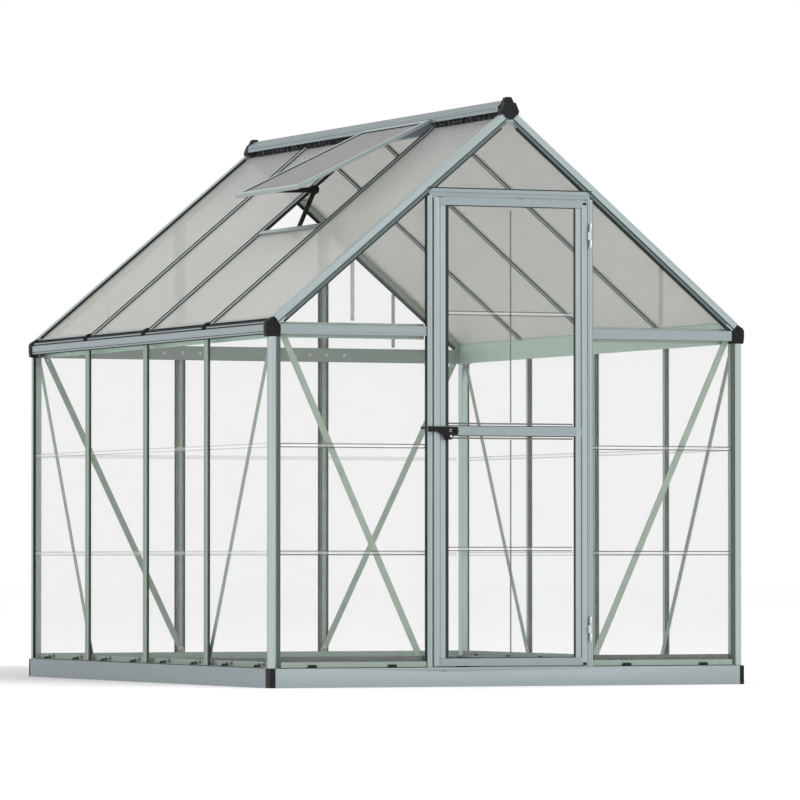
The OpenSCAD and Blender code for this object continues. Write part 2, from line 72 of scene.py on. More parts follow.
SIDES = ((-1, "left"), (1, "right"))
SLOPE = math.radians(40)
CAP_HALF = 15.0  # half the width of a wall bar's cap
RIDGE_RISE = 27  # top of the ridge cover over the meeting slopes
BASE_TOP = span("base_left")[5]
WALL_X = span("panels_right")[3]  # outer face of the side sheets
WALL_GLASS = WALL_X - 4  # inner face of the side sheets
CAP_X = span("wall_bars_right")[3]  # outer face of the side bars
POST_X = span("panels_front")[3]  # where the front sheets meet the posts
GABLE_Y = span("panels_front")[4]  # inner face of the front sheets
WALL_Y = span("gutter_left")[4]  # inner face of both gables
BAY = (span("wall_bars_left")[4] - span("wall_bars_left")[1] - 2 * CAP_HALF) / 2
WALL_TOP = span("wall_bars_left")[5]
APEX = span("ridge_beam")[5] - RIDGE_RISE  # where the two slopes would meet
JAMB_OUT = span("door_posts")[3]

# %% [markdown]
# ## Small tools
# Nearly every part of a greenhouse is a profile cut to a length, so one helper turns an outline
# into a closed prism. It is given a rule that puts the outline and the length in space, so that it
# makes a post, a rafter or a rib. A lathe makes the round heads.

# %% Prisms, and rules that place them
def upright(p, q, t):
    return (p, q, t)


def lengthwise(p, q, t):
    return (p, t, q)


def depth_first(p, q, t):
    return (q, p, t)


def slope_point(side, u, w):
    # u: down the slope from the apex; w: out of it
    x = u * math.cos(SLOPE) + w * math.sin(SLOPE)
    return side * x, APEX - u * math.sin(SLOPE) + w * math.cos(SLOPE)


def down_slope(side):
    def place(y, w, u):
        x, z = slope_point(side, u, w)
        return (x, y, z)
    return place


def rect(p0, p1, q0, q1):
    return [(p0, q0), (p1, q0), (p1, q1), (p0, q1)]


def prism(bm, outline, place, start, end):
    rings = [[bm.verts.new(Vector(place(p, q, t)) * MM) for p, q in outline] for t in (start, end)]
    count = len(outline)
    for i in range(count):
        j = (i + 1) % count
        bm.faces.new((rings[0][i], rings[0][j], rings[1][j], rings[1][i]))
    bm.faces.new(rings[0][::-1])
    bm.faces.new(rings[1])


def slab(bm, xs, ys, zs, side=1):
    # a box between three pairs of limits; side -1 puts it at the same place on the left
    prism(bm, rect(*sorted(side * x for x in xs), *sorted(ys)), upright, *zs)


def lathe(bm, profile, centre, steps):
    # profile: (radius, height) pairs towards the front, the ends on the axis
    turn = Vector((0, 0, 1)).rotation_difference(Vector((0, -1, 0)))
    rings = []
    for radius, height in profile:
        angles = [2 * math.pi * k / steps for k in range(steps if radius else 1)]
        spots = [Vector((radius * math.cos(a), radius * math.sin(a), height)) for a in angles]
        rings.append([bm.verts.new((Vector(centre) + turn @ spot) * MM) for spot in spots])
    for low, high in zip(rings, rings[1:]):
        for k in range(steps):
            pairs = ((low, k), (low, k + 1), (high, k + 1), (high, k))
            corners = list(dict.fromkeys(ring[m % steps % len(ring)] for ring, m in pairs))
            if len(corners) > 2:
                bm.faces.new(corners)

# %% [markdown]
# A piece is finished in one place: its edges are rounded a little, as on an extrusion or a
# moulding, so that they catch the light, and it gets its material and the body it moves with. A
# construction part that already has the right shape is dressed: a copy with its loose triangles
# merged into clean faces, so that the rounding has real edges to work on, stands in for the part.
# A piece may have two or three finishes: one for what is inside the sheets, then one for outside,
# or one for each side. The finish inside the sheets has greener greys of its own: painted light and
# shade, for how those faces are lit through the sheets in front of them.

# %% Finish a piece, or dress a construction part
SHEET_UNDER = -12.5  # under the slope, where the inside begins


def finish_index(centre):
    x, y = abs(centre.x), abs(centre.y)
    above = x * math.sin(SLOPE) + (centre.z - APEX) * math.cos(SLOPE)
    inside = x < WALL_GLASS and y < -GABLE_Y and above < SHEET_UNDER
    # index 0, inside the sheets, takes the greener greys of painted light and shade
    return 0 if inside else 1 if centre.x < 0 else 2


def round_edges(bm, radius, segments=1):
    bmesh.ops.recalc_face_normals(bm, faces=bm.faces)
    sharp = [e for e in bm.edges if len(e.link_faces) == 2
             and e.calc_face_angle_signed(0) > math.radians(30)]
    if radius and sharp:
        bmesh.ops.bevel(bm, geom=sharp, offset=radius * MM, segments=segments,
                        affect="EDGES", clamp_overlap=True, profile=0.5)


def make_piece(name, bm, material, body="house", radius=0.0, segments=1, replaces=()):
    round_edges(bm, radius, segments)
    finishes = material if isinstance(material, tuple) else (material,)
    for face in bm.faces:
        face.material_index = min(finish_index(face.calc_center_median() / MM), len(finishes) - 1)
    mesh = bpy.data.meshes.new(name)
    bm.to_mesh(mesh)
    bm.free()
    for finish in finishes:
        mesh.materials.append(finish)
    settle(placed(name, mesh), body, replaces)


def placed(name, data):
    thing = bpy.data.objects.new(name, data)
    scene.collection.objects.link(thing)
    return thing


def settle(piece, body, replaces):
    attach(piece, body)
    if replaces:
        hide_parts(*replaces)
    print(f"  {piece.name}: {len(piece.data.polygons)} faces on {body}")


def merged_copy(node):
    bm = bmesh.new()
    bm.from_mesh(frame["nodes"][node].data)
    bmesh.ops.remove_doubles(bm, verts=bm.verts, dist=2e-6)
    bmesh.ops.dissolve_limit(bm, angle_limit=math.radians(1), verts=bm.verts, edges=bm.edges)
    return bm


def dress(nodes, material, radius=0.8, segments=1):
    for node in nodes.split():
        make_piece(node + "_finish", merged_copy(node), material,
                   body_of[node], radius, segments, [node])

# %% [markdown]
# ## Colour and nodes
# Colours are written as sRGB hex codes, as a paint chart gives them, and shaders need linear light,
# so one function converts them. One more adds a node to a tree: a number or a name that is given
# becomes a setting, and another node becomes a link. Every finish starts from a Principled shader
# and Object coordinates, which are plain metres here, so each pattern can be sized from the real
# thing.

# %% Colour, node and shader helpers
def linear(code):
    parts = [int(code[i:i + 2], 16) / 255 for i in (1, 3, 5)]
    return (*[c / 12.92 if c <= 0.04045 else ((c + 0.055) / 1.055) ** 2.4 for c in parts], 1.0)


def add_node(tree, kind, values=None):
    node = tree.nodes.new(kind)
    for name, value in (values or {}).items():
        if isinstance(value, (bpy.types.Node, bpy.types.NodeSocket)):
            tree.links.new(getattr(value, "outputs", [value])[0], node.inputs[name])
        elif isinstance(name, int) or name in node.inputs:
            node.inputs[name].default_value = value
        else:
            setattr(node, name, value)
    return node


def start_finish(name, settings):
    material = bpy.data.materials.new(name)
    material.use_nodes = True
    tree = material.node_tree
    tree.nodes.clear()
    shader = add_node(tree, "ShaderNodeBsdfPrincipled", settings)
    add_node(tree, "ShaderNodeOutputMaterial", {"Surface": shader})
    coords = add_node(tree, "ShaderNodeTexCoord").outputs["Object"]
    return material, tree, shader, coords


def vary(tree, shader, pattern, dark, light, low=0.3, high=0.7, roughness=None):
    # the pattern's values from low to high change the colour and the roughness
    part = add_node(tree, "ShaderNodeMapRange", {
        "From Min": low, "From Max": high, "Value": pattern})
    tone = add_node(tree, "ShaderNodeMix", {
        "data_type": "RGBA", 0: part, 6: linear(dark), 7: linear(light)})
    tree.links.new(tone.outputs[2], shader.inputs["Base Color"])
    if roughness:
        rough = add_node(tree, "ShaderNodeMapRange", {
            "To Min": roughness[0], "To Max": roughness[1], "Value": part})
        tree.links.new(rough.outputs[0], shader.inputs["Roughness"])


def relief(tree, shader, height, distance, strength):
    bump = add_node(tree, "ShaderNodeBump", {
        "Distance": distance * MM, "Strength": strength, "Height": height})
    tree.links.new(bump.outputs[0], shader.inputs["Normal"])


def clouded(name, settings, size, detail, dark, light, roughness, bump=None):
    # soft patches, size in millimetres, between two tones and two roughnesses
    material, tree, shader, coords = start_finish(name, settings)
    clouds = add_node(tree, "ShaderNodeTexNoise", {
        "Scale": 1 / (size * MM), "Detail": detail, "Vector": coords})
    vary(tree, shader, clouds, dark, light, 0.3, 0.7, roughness)
    if bump:
        relief(tree, shader, clouds, *bump)
    return material

# %% [markdown]
# ## Silver anodised aluminium
# The visible profiles are extruded aluminium with a satin silver anodised skin. The die leaves fine
# lines along each bar, and the anodising softens the mirror of bare metal into a grey sheen. Real
# lines are too fine to show, so they are drawn 6 mm apart and very faint. A profile runs upright,
# along the house, across it or down a slope, so the stretched noise is turned to follow it, and
# each direction has its own greys: painted light and shade, for how it meets the sky's light. The
# ridge and the door's stiles get darker greys again, as painted shade.

# %% Anodised profiles, one finish for each direction
def anodised(name, run, dark="#9CA8A8", light="#A4AFB0", turn=0.0,
             family="satin_anodised_aluminium_"):
    material, tree, shader, coords = start_finish(
        family + name, {"Metallic": 0.92, "Roughness": 0.4})
    turned = add_node(tree, "ShaderNodeMapping", {"Rotation": (0, turn, 0), "Vector": coords})
    across, along = 1 / (6 * MM), 1 / (900 * MM)
    scale = [along if axis == run else across for axis in "xyz"]
    stretched = add_node(tree, "ShaderNodeMapping", {"Scale": scale, "Vector": turned})
    lines = add_node(tree, "ShaderNodeTexNoise", {
        "Scale": 1.0, "Detail": 2.0, "Vector": stretched})
    vary(tree, shader, lines, dark, light, 0.35, 0.65, (0.36, 0.46))
    relief(tree, shader, lines, 0.3, 0.12)
    return material


# greys set for each direction, darker for the ridge and the door: painted light and shade
alu_upright = anodised("upright", "z", "#A8B4B4", "#B0BBBC")
alu_door = anodised("door", "z")
alu_length = anodised("lengthwise", "y", "#95A0A2", "#9DA7AA")
alu_ridge = anodised("ridge", "y", "#909B9E", "#97A1A4")
alu_cross = anodised("crosswise", "x", "#8F9A9B", "#96A1A3")
alu_slope_right = anodised("right_slope", "x", turn=-SLOPE)
alu_slope_left = anodised("left_slope", "x", turn=SLOPE)
groove_shade = anodised("shade", "y", "#5F6A6A", "#697474", family="anodised_groove_")

# %% [markdown]
# ## Greener greys: painted light and shade
# The flat braces, the wall plates, the sills, the wall bars, the base's inner faces and the
# profiles' faces inside the sheets get greener greys of their own, some darker and some lighter:
# painted light and shade, for how they are lit through the sheets in front of them and from each
# side. Soft cloudy patches some centimetres wide vary the tone, so this finish uses plain noise of
# that size.

# %% Greener greys for aluminium and steel, painted light and shade
def painted_light_metal(name, dark, light):
    return clouded(name, {"Metallic": 0.85, "Roughness": 0.5}, 45, 3.0, dark, light, (0.44, 0.56))


# greener greys, some darker and some lighter: painted light and shade on faces seen through the
# sheets and on the wall bars
alu_green_painted_shade = painted_light_metal("aluminium_green_painted_shade", "#8F9C90", "#9EAA9F")
alu_deep_painted_shade = painted_light_metal("aluminium_deep_painted_shade", "#8A968F", "#939F97")
alu_green_painted_light = painted_light_metal("aluminium_green_painted_light", "#9DAFA5", "#A9BAAF")
plate_painted_light = painted_light_metal("aluminium_plate_painted_light", "#B9CEC2", "#C3D7CC")
sill_painted_shade = painted_light_metal("aluminium_sill_painted_shade", "#909F96", "#98A69D")
bar_face_painted_shade = painted_light_metal("aluminium_bar_cap_painted_shade", "#8C988F", "#949F97")
bar_side_painted_light = painted_light_metal("aluminium_bar_flank_painted_light", "#A6B7A8", "#AFBFB0")
steel_inside_painted_light = painted_light_metal("galvanised_steel_painted_light", "#A9B5AD", "#B3BFB7")

# %% [markdown]
# ## Coated galvanised steel
# The base is folded from galvanised sheet under a thin silver coat. Zinc crystals, some 15 mm
# wide, still show as the faintest change of tone, which a Voronoi pattern draws: each cell is one
# crystal with its own grey.

# %% Steel for the base, zinc plate for hinges and screws
coated_steel, tree, shader, coords = start_finish(
    "coated_galvanised_steel", {"Metallic": 0.6, "Roughness": 0.6})
crystals = add_node(tree, "ShaderNodeTexVoronoi", {"Scale": 1 / (15 * MM), "Vector": coords})
grey = add_node(tree, "ShaderNodeRGBToBW", {0: crystals.outputs["Color"]})
vary(tree, shader, grey, "#959FA1", "#99A3A5", 0.2, 0.8, (0.58, 0.66))

zinc_plate = clouded("zinc_plated_steel", {"Metallic": 1.0, "Roughness": 0.3}, 4, 2.0,
                     "#B9BFC0", "#D2D7D7", (0.24, 0.36))

# %% [markdown]
# ## Moulded nylon and rubber seals
# Caps and corner boots are injection-moulded black nylon, the latch and the vent's stay black
# acetal. The moulds are spark eroded, which leaves a fine grain of about half a millimetre; it is
# drawn 3 mm wide so that it shows as a soft sheen. The seals are extruded EPDM rubber, matt and a
# little green. The same two rubber finishes also make dark strips of painted shade in grooves, gaps
# and under lips, and of painted shadow beside the bars' caps.

# %% Black nylon and EPDM rubber
def moulded(name, dark, light, roughness, grain):
    return clouded(name, {"Roughness": 0.5, "IOR": 1.53, "Specular IOR Level": 0.17}, grain, 3.0,
                   dark, light, roughness, (0.4, 0.25))


black_nylon = moulded("black_moulded_nylon", "#121313", "#1C1E1D", (0.5, 0.62), 3)
black_acetal = moulded("black_moulded_acetal", "#0C0D0D", "#161717", (0.4, 0.52), 3)
# seals, and also painted shade and painted shadow strips
dark_rubber_and_shade = moulded("epdm_rubber_and_painted_shade", "#454E49", "#555F59", (0.6, 0.75), 5)
dark_seal_and_shade = moulded("epdm_rubber_and_painted_shade_dark", "#262D29", "#343C37", (0.6, 0.75), 5)

# %% [markdown]
# ## Polycarbonate
# The walls are clear sheets about a millimetre thick, with ribs pressed into them for stiffness. A
# sheet so thin hardly bends light, so it needs no glass shader: each face is almost see-through and
# keeps a little of its own grey. The edges of a pressed rib turn light aside and read as thin dark
# lines, with a bright crest between them, so the edges get a painted shade and the crest a painted
# highlight.

# %% Clear sheet and its pressed ribs
def clear_plastic(name, dark, light, alpha, roughness=(0.06, 0.14)):
    return clouded(name, {"Roughness": 0.1, "IOR": 1.585, "Alpha": alpha}, 60, 2.0,
                   dark, light, roughness)


clear_sheet = clear_plastic("pressed_clear_polycarbonate", "#A2A5A4", "#B4B7B6", 0.06)
# rib edges: painted shade; rib crest: painted highlight
rib_edge = clear_plastic("pressed_rib_edge", "#61625E", "#6E6F6B", 0.68)
rib_edge_side = clear_plastic("pressed_rib_edge_shallow", "#8E938B", "#9BA097", 0.3)
rib_edge_far = clear_plastic("pressed_rib_edge_faint", "#9AA097", "#A6ACA3", 0.14)
rib_crest = clear_plastic("pressed_rib_crest", "#F4F6F5", "#FFFFFF", 0.12)
# painted shade: the dark band along the foot of the front sheets
shade_band_plastic = clear_plastic("front_sheet_shade_band", "#4A534E", "#59625D", 0.85)
seam_plastic = clear_plastic("seam_strip_polycarbonate", "#8C8B87", "#9A9995", 0.6)

# %% [markdown]
# The roof is twin-wall sheet: two thin skins joined by webs that run down the slope, which spread
# the sun to a soft grey-white. Here the sheet is really built like that. Light passes four thin
# faces, so each skin is only partly opaque. The left slope is lighter at its foot than at the
# ridge, as it mirrors a lower and brighter part of the sky there, so its skin is graded by height.

# %% Twin-wall sheet
twin_skin = clear_plastic("twin_wall_polycarbonate_skin", "#D3D3CB", "#DBDBD5", 0.36, (0.3, 0.42))
twin_web = clear_plastic("twin_wall_polycarbonate_web", "#A0A099", "#AAAAA4", 0.55, (0.3, 0.45))
vent_skin = clear_plastic("twin_wall_polycarbonate_vent", "#939494", "#9C9D9D", 0.4, (0.3, 0.42))

slope_skin, tree, shader, coords = start_finish(
    "twin_wall_polycarbonate_graded", {"Roughness": 0.36, "IOR": 1.585, "Alpha": 0.36})
height = add_node(tree, "ShaderNodeSeparateXYZ", {0: coords}).outputs["Z"]
vary(tree, shader, height, "#D2D3CD", "#ABACAC", 1720 * MM, 2090 * MM, (0.32, 0.42))

# %% [markdown]
# ## Geometry Nodes for what repeats
# Seals, ribs, screws and flutes repeat at a step, which is what Geometry Nodes are good at: the
# size is an input, and the tree places the copies. Each tree makes its copies real and sets their
# material, and the result is kept as a plain mesh.

# %% Helpers for trees
def new_tree(name, inputs):
    tree = bpy.data.node_groups.new(name, "GeometryNodeTree")
    for entry in ("Geometry: Geometry, " + inputs).split(", "):
        label, kind = entry.split(": ")
        tree.interface.new_socket(label, in_out="INPUT", socket_type="NodeSocket" + kind)
    tree.interface.new_socket("Geometry", in_out="OUTPUT", socket_type="NodeSocketGeometry")
    return tree, add_node(tree, "NodeGroupInput").outputs


def end_tree(tree, geometry):
    add_node(tree, "NodeGroupOutput", {"Geometry": geometry})
    return tree


def compute(tree, operation, a, b=0.0):
    return add_node(tree, "ShaderNodeMath", {"operation": operation, 0: a, 1: b}).outputs[0]


def vector(tree, x=0.0, y=0.0, z=0.0):
    return add_node(tree, "ShaderNodeCombineXYZ", {"X": x, "Y": y, "Z": z}).outputs[0]


def painted(tree, geometry, finish, where=True):
    return add_node(tree, "GeometryNodeSetMaterial", {
        "Geometry": geometry, "Material": finish, "Selection": where})


def joined(tree, parts):
    join = add_node(tree, "GeometryNodeJoinGeometry")
    for part in parts:
        tree.links.new(part.outputs[0], join.inputs[0])
    return join


def made_real(tree, points, part, rotation=(0, 0, 0)):
    copies = add_node(tree, "GeometryNodeInstanceOnPoints", {
        "Points": points, "Instance": part, "Rotation": rotation})
    return add_node(tree, "GeometryNodeRealizeInstances", {"Geometry": copies})


def grow(name, tree, values, mesh=None, replaces=()):
    piece = placed(name, mesh or bpy.data.meshes.new(name))
    modifier = piece.modifiers.new(name, "NODES")
    modifier.node_group = tree
    for socket in tree.interface.items_tree:
        if socket.in_out == "INPUT" and socket.name in values:
            modifier[socket.identifier] = values[socket.name]
    evaluated = piece.evaluated_get(bpy.context.evaluated_depsgraph_get())
    result = bpy.data.meshes.new_from_object(evaluated)
    piece.modifiers.clear()
    piece.data = result
    settle(piece, "house", replaces)

# %% [markdown]
# The first tree repeats whatever mesh it is given. The flanks of the copies, the faces that look
# along the house, can have a finish of their own, since they meet the light from another side.

# %% The tree that repeats a part at a step
tree, given = new_tree(
    "repeat_at_a_step", "Count: Int, Step: Vector, Finish: Material, Side finish: Material")
row = add_node(tree, "GeometryNodeMeshLine", {
    "mode": "OFFSET", "Count": given["Count"], "Offset": given["Step"]})
faced = painted(tree, made_real(tree, row, given["Geometry"]), given["Finish"])
normal = add_node(tree, "GeometryNodeInputNormal")
along_house = add_node(tree, "ShaderNodeSeparateXYZ", {0: normal}).outputs["Y"]
flank = compute(tree, "GREATER_THAN", compute(tree, "ABSOLUTE", along_house), 0.5)
repeat_tree = end_tree(tree, painted(tree, faced, given["Side finish"], flank))


def repeat(name, bm, count, step, finish, radius=0.0, sides=None, replaces=()):
    round_edges(bm, radius)
    mesh = bpy.data.meshes.new(name)
    bm.to_mesh(mesh)
    bm.free()
    values = {"Count": count, "Step": [v * MM for v in step], "Finish": finish,
              "Side finish": sides or finish}
    grow(name, repeat_tree, values, mesh, replaces)

# %% [markdown]
# Bolts and screws sit wherever two parts meet, each facing its own way. The second tree takes loose
# points that know which way they face, and puts a washer and a head on each. Both are short cones
# with few sides, enough for something a centimetre wide that is repeated all over.

# %% The tree that puts a fastener on each point
tree, given = new_tree(
    "fastener_on_points", "Head radius: Float, Head height: Float, Finish: Material")
facing = add_node(tree, "GeometryNodeInputNamedAttribute", {
    "data_type": "FLOAT_VECTOR", "Name": "facing"})
turned = add_node(tree, "FunctionNodeAlignRotationToVector", {
    "axis": "Z", "Vector": facing.outputs["Attribute"]})
radius = given["Head radius"]
head = add_node(tree, "GeometryNodeMeshCone", {
    "Vertices": 10, "Radius Top": compute(tree, "MULTIPLY", radius, 0.55),
    "Radius Bottom": radius, "Depth": given["Head height"]})
washer = add_node(tree, "GeometryNodeMeshCone", {
    "Vertices": 12, "Depth": 1.2 * MM, "Radius Top": radius,
    "Radius Bottom": compute(tree, "MULTIPLY", radius, 1.3)})
heads = made_real(tree, given["Geometry"], joined(tree, (washer, head)), turned)
fastener_tree = end_tree(tree, painted(tree, heads, given["Finish"]))


def fasteners(name, spots, material, radius, height):
    mesh = bpy.data.meshes.new(name)
    mesh.from_pydata([Vector(place) * MM for place, _ in spots], [], [])
    facings = mesh.attributes.new("facing", "FLOAT_VECTOR", "POINT")
    for item, (_, direction) in zip(facings.data, spots):
        item.vector = direction
    values = {"Head radius": radius * MM, "Head height": height * MM, "Finish": material}
    grow(name, fastener_tree, values, mesh)

# %% [markdown]
# ## The steel base
# The base is four lengths of folded sheet with a lip on top for the sills and a return under it.
# The construction parts have the folds, so they are dressed with softened bends. Black moulded
# boots close the corners, and black clips hold the sills; their inner hooks are lower on the right,
# where they would show behind the door. A dark bedding strip shows as a thin line between the sills
# and the base.

# %% Base, corner boots, wall clips and bedding
# the base's faces inside the sheets take lighter greener greys: painted light
dress("base_front base_rear base_left base_right", (steel_inside_painted_light, coated_steel), 0.9)
dress("base_corners", black_nylon, 2.0, 2)

CLIP_STEP = 305.0
CLIP_YS = [(number + 0.5) * CLIP_STEP for number in range(-4, 4)]
OUTER_HOOK = [(921.5, 71), (911.7, 71), (911.7, 81)]
clips, bedding = bmesh.new(), bmesh.new()
for side in (-1, 1):
    tip = 91 if side < 0 else 78
    inner_hook = [(907.3, 71), (888, 71), (888, tip), (892, tip), (907.3, 76)]
    for y in CLIP_YS:
        for outline in (OUTER_HOOK, inner_hook):
            prism(clips, [(side * x, z) for x, z in outline], lengthwise, y - 9, y + 9)
    for x in (1.5 * CLIP_STEP, 2.5 * CLIP_STEP):
        for way in (-1, 1):
            slab(clips, (x - 15, x + 15), (way * 1224.2, way * 1233),
                 (BASE_TOP, BASE_TOP + 12), side)
    slab(bedding, (921.8, 923.6), (-WALL_Y + 30, WALL_Y - 30), (BASE_TOP, BASE_TOP + 2.4), side)
    for y in (-WALL_Y - 36.4, WALL_Y + 34.4):
        slab(bedding, (POST_X - 2, JAMB_OUT + 1), (y, y + 2.0), (BASE_TOP, BASE_TOP + 2.6), side)
make_piece("base_clips_finish", clips, black_nylon, radius=0.8,
           replaces=["base_clips"])
make_piece("bedding_strips", bedding, dark_seal_and_shade)

screws = [((side * 899.1, y - 48, 82), (side, 0, 0)) for side in (-1, 1) for y in CLIP_YS]
fasteners("sill_screws", screws, dark_rubber_and_shade, 7.0, 6.0)

# %% [markdown]
# ## Posts, wall bars and their seals
# The posts and bars are hollow or flanged extrusions. A sheet is held against each by a rubber
# seal, seen from outside as a dark line beside the bright cap; the dark strip is 7 mm wide, the
# seal and the cap's painted shadow on the sheet. A bar has a cap outside, a web through the joint
# and a flange inside. The bars stand one bay apart, so one bar and its pair of seals are made and
# the repeating tree places the rest. The left wall's bars get darker greys than the right wall's,
# and their flanks lighter ones: painted shade and light.

# %% Wall bars and their seals
SEAL_SHADOW_WIDE = 7.0
BAR_PARTS = ((CAP_HALF, 0, 10), (3, 10, 14.2), (8, 14.2, 16.6))  # half width, depth from, to


def bar_row(names, node, place, centre, outer, inward, top, count, step, finish, radius, flanks):
    # outer: where the cap's face is; inward: +1 or -1, the way from there to the sheet
    bars, seals = bmesh.new(), bmesh.new()
    for half, near, far in BAR_PARTS:
        prism(bars, rect(centre - half, centre + half, outer + inward * near,
                         outer + inward * far), place, BASE_TOP + 3, top)
    # each strip is the seal and the cap's painted shadow on the sheet
    for edge in (centre - CAP_HALF - SEAL_SHADOW_WIDE - 0.1, centre + CAP_HALF + 0.1):
        prism(seals, rect(edge, edge + SEAL_SHADOW_WIDE, outer + inward * 6.2, outer + inward * 9.9),
              place, BASE_TOP + 3, top)
    repeat(names[0], bars, count, step, finish, radius, flanks, [node])
    repeat(names[1], seals, count, step, dark_seal_and_shade)


# left bars darker, right bars and all flanks lighter: painted shade and light
for side, label in SIDES:
    bar_row(("wall_bars_" + label, "wall_bar_seal_shadows_" + label), "wall_bars_" + label,
            depth_first, -BAY, side * CAP_X, -side, WALL_TOP, 3, (0, BAY, 0),
            bar_face_painted_shade if side < 0 else alu_green_painted_light, 1.6, bar_side_painted_light)
bar_row(("wall_bars_rear_finish", "wall_bar_seal_shadows_rear"), "wall_bars_rear",
        upright, -303, span("wall_bars_rear")[4], -1, 1760, 2, (606, 0, 0),
        alu_green_painted_shade, 1.2, None)
dress("sill_rails", sill_painted_shade, 0.5)

# %% [markdown]
# The corner posts hold two sheets at a right angle. In front a dark strip fills an open groove:
# painted shade in the recess, drawn as a seal. Round the side there is only a seal line.

# %% Corner posts and their seals
POST_TOP = span("corner_posts")[5]
front_post = [(880, 1190), (911.5, 1190), (911.5, 1196), (921.5, 1196), (921.5, 1214.5),
              (919, 1218), (911, 1222.6), (907, 1224), (903.5, 1224), (895.2, 1218.6),
              (895.2, 1212), (880, 1212)]
rear_post = [(889, 1190), (911.5, 1190), (911.5, 1196), (921.5, 1196), (921.5, 1216),
             (911.5, 1216), (911.5, 1225.5), (905.5, 1231.5), (889, 1231.5)]
posts, seals, side_seals = bmesh.new(), bmesh.new(), bmesh.new()
for side in (-1, 1):
    prism(posts, [(side * x, -y) for x, y in front_post], upright, BASE_TOP, POST_TOP)
    prism(posts, [(side * x, y) for x, y in rear_post], upright, BASE_TOP, POST_TOP)
    # the dark strip in the front groove is painted shade
    slab(seals, (880.2, 895), (-1219, -1212.2), (BASE_TOP + 3, POST_TOP), side)
    for way in (-1, 1):
        slab(side_seals, (911.7, 921), (way * 1194.2, way * 1195.8), (BASE_TOP + 3, POST_TOP), side)
make_piece("corner_posts_finish", posts, (alu_green_painted_light, alu_upright),
           "house", 0.9, 2, ["corner_posts"])
make_piece("post_groove_painted_shade", seals, dark_rubber_and_shade)
make_piece("post_side_seals", side_seals, dark_seal_and_shade)

# %% [markdown]
# ## Bracing, beams and gutters
# Flat diagonal straps stop the walls from racking. They and the plates behind the eaves get the
# greener greys of painted light and shade. The gutters are anodised like the posts. Bolts hold the
# straps to the base and the eaves, the eaves to the bars and posts, and the rafters to the gables.

# %% Braces, beams, gutters and their bolts
dress("braces_left braces_right braces_front braces_rear", alu_green_painted_shade, 0.5)
dress("eave_beams_front", (alu_green_painted_light, alu_cross))
dress("eave_beam_rear", alu_deep_painted_shade)
dress("gutter_left gutter_right", (plate_painted_light, alu_length), 0.7)

# one side's bolts: the place, then the way the head faces along x and y
spots = [(900, y, z, -1, 0) for y, z in ((604, 105), (-604, 105), (1180, 1226), (-1180, 1226))]
spots += [(341, -1199.8, 105, 0, 1), (857, -1199.8, 1224, 0, 1),
          (304, 1210.3, 105, 0, -1), (857, 1210.3, 1222, 0, -1)]
spots += [(876, bar * BAY + off, 1262, -1, 0) for bar in (-1, 0, 1) for off in (-28, 28)]
spots += [(x, WALL_Y, 1256, 0, -1) for x in (232, 305, 380, 820)]
for u in (70, 600, 1120):
    x, z = slope_point(1, u, -17)
    spots += [(x, WALL_Y, z, 0, -1), (x, -WALL_Y, z, 0, 1)]
bolts = [((side * x, y, z), (side * across, along, 0))
         for side in (-1, 1) for x, y, z, across, along in spots]
fasteners("frame_bolts", bolts, zinc_plate, 5.5, 3.4)

# %% [markdown]
# ## Clear walls and their pressed ribs
# The clear sheets are flat between the bars, so the construction sheets stay and take the clear
# finish. Each has two pressed ribs across it, shallow folds 16 mm high: two edges that look dark
# and a crest that looks bright, painted shade on the edges and a painted highlight on the crest. A
# dark band is painted along the foot of the front sheets, over the base: painted shade, the shaded
# recess of the rear base seen through the house. The rear ribs are seen through the house, and are
# faint.

# %% Clear sheets
for node in ("panels_left panels_right panels_front panels_rear gable_panels "
             "door_gable_panel door_panels").split():
    data = frame["nodes"][node].data
    data.materials.clear()
    data.materials.append(clear_sheet)

EDGE, CREST, PROUD = 3.8, 8.2, 1.4  # heights of an edge and a crest, and their depth
RIB_HEIGHTS = (473.0, 850.0)


def ribs_across(edges, crests, xs, ys, heights, side=1):
    half = CREST / 2
    for z in heights:
        for bm, z0, z1 in ((edges, z - half - EDGE, z - half),
                           (edges, z + half, z + half + EDGE), (crests, z - half, z + half)):
            slab(bm, xs, ys, (z0, z1), side)


edges, crests, side_edges, far_edges, folds = (bmesh.new() for _ in range(5))
front, rear = span("panels_front")[1], span("panels_rear")[4]
side_runs = ((-WALL_Y - 3, -BAY - 17), (-BAY + 17, -17), (17, BAY - 17), (BAY + 17, WALL_Y + 3))
front_run = (JAMB_OUT + 2, POST_X - 0.5)
for side in (-1, 1):
    for run in side_runs:
        ribs_across(side_edges, crests, (WALL_X + 0.1, WALL_X + PROUD), run, RIB_HEIGHTS, side)
    ribs_across(edges, crests, front_run, (front - PROUD, front - 0.1), RIB_HEIGHTS, side)
    # a dark band painted as shade along the front sheets' foot
    slab(folds, front_run, (GABLE_Y + 0.1, GABLE_Y + 1.1), (91, 109), side)
    for run in ((320, POST_X - 2), (0, 286)):
        ribs_across(far_edges, far_edges, run, (rear + 0.1, rear + PROUD), RIB_HEIGHTS, side)
for name, bm, finish in (("wall_rib_edges", edges, rib_edge),
                         ("side_rib_edges", side_edges, rib_edge_side),
                         ("rear_rib_edges", far_edges, rib_edge_far),
                         ("wall_rib_crests", crests, rib_crest),
                         ("front_sheet_painted_shade", folds, shade_band_plastic)):
    make_piece(name, bm, finish)

# %% [markdown]
# The triangle sheets of the gables meet over a narrow doubled strip, which looks grey because the
# light passes two sheets and the glue between them.

